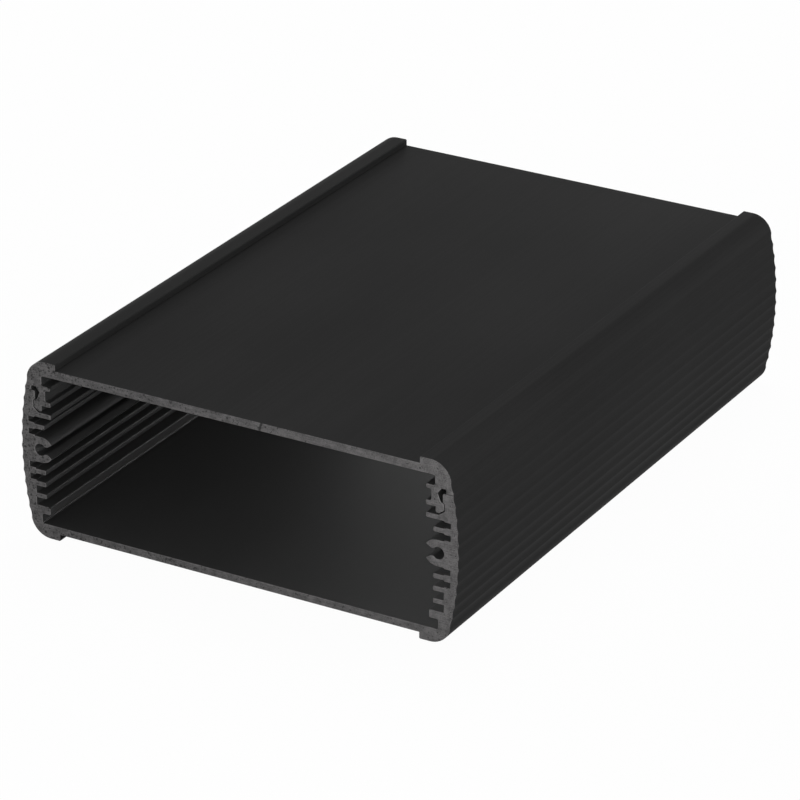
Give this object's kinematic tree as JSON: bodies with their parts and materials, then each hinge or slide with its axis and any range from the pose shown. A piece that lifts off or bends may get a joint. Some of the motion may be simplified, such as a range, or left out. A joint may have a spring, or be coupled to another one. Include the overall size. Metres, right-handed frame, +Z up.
{
  "type": "extruded aluminium enclosure",
  "caption": "Open-ended box of two black anodised extrusions joined by a snap seam, with fluted bowed sides, board slots and screw channels.",
  "frame": {"origin": "centre of the footprint, on the plane of the lower ridges", "axes": "+Y along the extrusions, with the front end at -Y, +Z up through the recessed top, +X to the right seen from the front end"},
  "size_m": [0.107, 0.15, 0.0416],
  "materials": {
    "anodised_lower": "satin",
    "anodised_upper": "satin"
  },
  "bodies": {
    "base": {"lower_shell": "anodised_lower"},
    "cover": {"upper_shell": "anodised_upper"}
  },
  "joints": [
    {"name": "cover_slide", "type": "slide", "parent": "base", "child": "cover", "axis": [0, 1, 0], "range_m": [-0.15, 0.15]}
  ]
}
